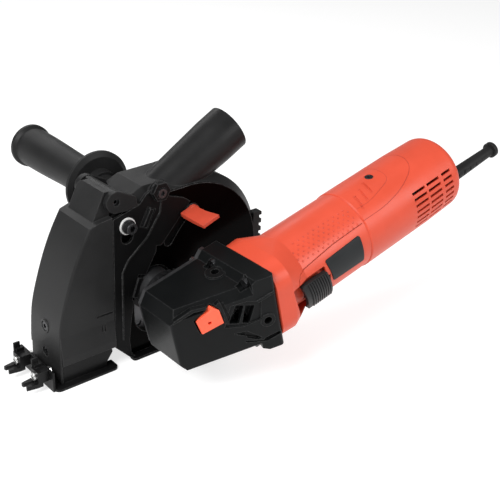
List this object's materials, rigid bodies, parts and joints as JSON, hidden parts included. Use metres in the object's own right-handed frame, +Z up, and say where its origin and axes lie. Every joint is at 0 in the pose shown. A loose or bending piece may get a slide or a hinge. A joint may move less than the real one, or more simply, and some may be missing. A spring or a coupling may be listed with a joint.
{
  "type": "wall chaser",
  "caption": "Corded wall chaser: an angled motor unit plunges twin discs through a black dust shroud with a hinged front cover, dust tube, side handle and guide clips.",
  "frame": {"origin": "middle of the underside of the foot along the shroud's far wall, in the plane of the sole", "axes": "+X towards the rear where the lead leaves, +Y away from the motor towards the side handle, +Z up; the spindle lies along Y"},
  "size_m": [0.4856, 0.3051, 0.1985],
  "materials": {
    "shroud_black": "satin, fine grain",
    "panel_black": "smooth, glossy",
    "coated_steel": "black coating, satin",
    "black_steel": "blackened steel",
    "zinc_steel": "bright zinc",
    "grip_black": "satin, fine grain",
    "clip_black": "satin",
    "head_black": "black coating, satin",
    "cast_aluminium": "dark cast",
    "bearing_steel": "ground",
    "housing_red": "satin orange-red",
    "lever_red": "satin orange-red",
    "button_red": "satin orange-red",
    "plate_grey": "blank dark grey plate",
    "inner_plastic": "plain",
    "lamination_steel": "stacked sheet",
    "copper_wire": "enamelled wire",
    "copper_bars": "turned copper",
    "brass_parts": "plain",
    "carbon": "pressed carbon",
    "sleeve_rubber": "matt rubber",
    "fan_plastic": "moulded",
    "switch_black": "satin",
    "disc_steel": "ground steel, grey rim segments"
  },
  "bodies": {
    "shroud": {"shroud_shell": "shroud_black", "side_plate": "shroud_black", "round_panel": "panel_black", "plate_screw": "black_steel", "cover_washer": "zinc_steel", "cover_bolt": "black_steel", "hinge_pin": "zinc_steel", "pivot_bolt": "black_steel", "pivot_nut": "zinc_steel", "handle_stud": "zinc_steel", "handle_grip": "grip_black"},
    "front_cover": {"front_cover": "shroud_black", "front_screws": "black_steel", "base_plate": "coated_steel"},
    "near_clip": {"near_clip": "clip_black", "near_clip_screw": "zinc_steel"},
    "far_clip": {"far_clip": "clip_black", "far_clip_screw": "zinc_steel"},
    "drive_unit": {"gear_case": "head_black", "neck_flange": "cast_aluminium", "flange_screws": "zinc_steel", "clamp_ring": "black_steel", "swing_arm": "coated_steel", "spindle_bearings": "bearing_steel", "armature_bearings": "bearing_steel", "motor_housing": "housing_red", "rear_housing": "housing_red", "rear_screw": "black_steel", "name_plate": "plate_grey", "housing_screws": "black_steel", "air_baffle": "inner_plastic", "stator_core": "lamination_steel", "field_coils": "copper_wire", "brush_holders": "brass_parts", "carbon_brushes": "carbon", "speed_module": "inner_plastic", "switch_block": "inner_plastic", "cord_clamp": "inner_plastic", "cord_sleeve": "sleeve_rubber", "lock_spring": "zinc_steel"},
    "depth_knob": {"lever_bolt": "black_steel", "depth_lever": "lever_red"},
    "spindle": {"spindle": "bearing_steel", "crown_gear": "bearing_steel", "inner_flange": "zinc_steel", "near_disc": "disc_steel", "disc_spacers": "zinc_steel", "far_disc": "disc_steel", "clamp_nut": "zinc_steel"},
    "rotor": {"armature_shaft": "bearing_steel", "pinion": "bearing_steel", "armature_core": "lamination_steel", "armature_windings": "copper_wire", "commutator": "copper_bars", "cooling_fan": "fan_plastic"},
    "switch": {"switch_slider": "switch_black", "switch_rod": "inner_plastic"},
    "lock": {"lock_button": "button_red", "lock_pin": "zinc_steel"}
  },
  "joints": [
    {"name": "plunge", "type": "hinge", "parent": "shroud", "child": "drive_unit", "pos_m": [0.062, -0.02575, 0.0468], "axis": [0, -1, 0], "range_deg": [0, 14], "stiffness_Nm_per_rad": 6, "springref_deg": -14.32},
    {"name": "cover_hinge", "type": "hinge", "parent": "shroud", "child": "front_cover", "pos_m": [-0.074, -0.02575, 0.15], "axis": [0, 1, 0], "range_deg": [0, 85]},
    {"name": "near_clip_slide", "type": "slide", "parent": "front_cover", "child": "near_clip", "axis": [0, 1, 0], "range_m": [-0.0045, 0.0045]},
    {"name": "far_clip_slide", "type": "slide", "parent": "front_cover", "child": "far_clip", "axis": [0, 1, 0], "range_m": [-0.0045, 0.0045]},
    {"name": "knob_turn", "type": "hinge", "parent": "drive_unit", "child": "depth_knob", "pos_m": [0.0002, -0.0495, 0.1245], "axis": [0, 1, 0], "range_deg": [0, 60]},
    {"name": "spindle_spin", "type": "hinge", "parent": "drive_unit", "child": "spindle", "pos_m": [-0.037, -0.02575, 0.06283], "axis": [0, 1, 0], "continuous": true},
    {"name": "rotor_spin", "type": "hinge", "parent": "drive_unit", "child": "rotor", "pos_m": [0.002, -0.1199, 0.073], "axis": [0.9676, 0, 0.2524], "continuous": true},
    {"name": "switch_slide", "type": "slide", "parent": "drive_unit", "child": "switch", "axis": [-0.9676, 0, -0.2524], "range_m": [0, 0.007]},
    {"name": "lock_press", "type": "slide", "parent": "drive_unit", "child": "lock", "axis": [0, 1, 0], "range_m": [0, 0.0035], "stiffness_N_per_m": 500, "springref_m": -0.003}
  ],
  "couplings": [
    {"joint": "rotor_spin", "follows": "spindle_spin", "ratio": -3.8}
  ]
}
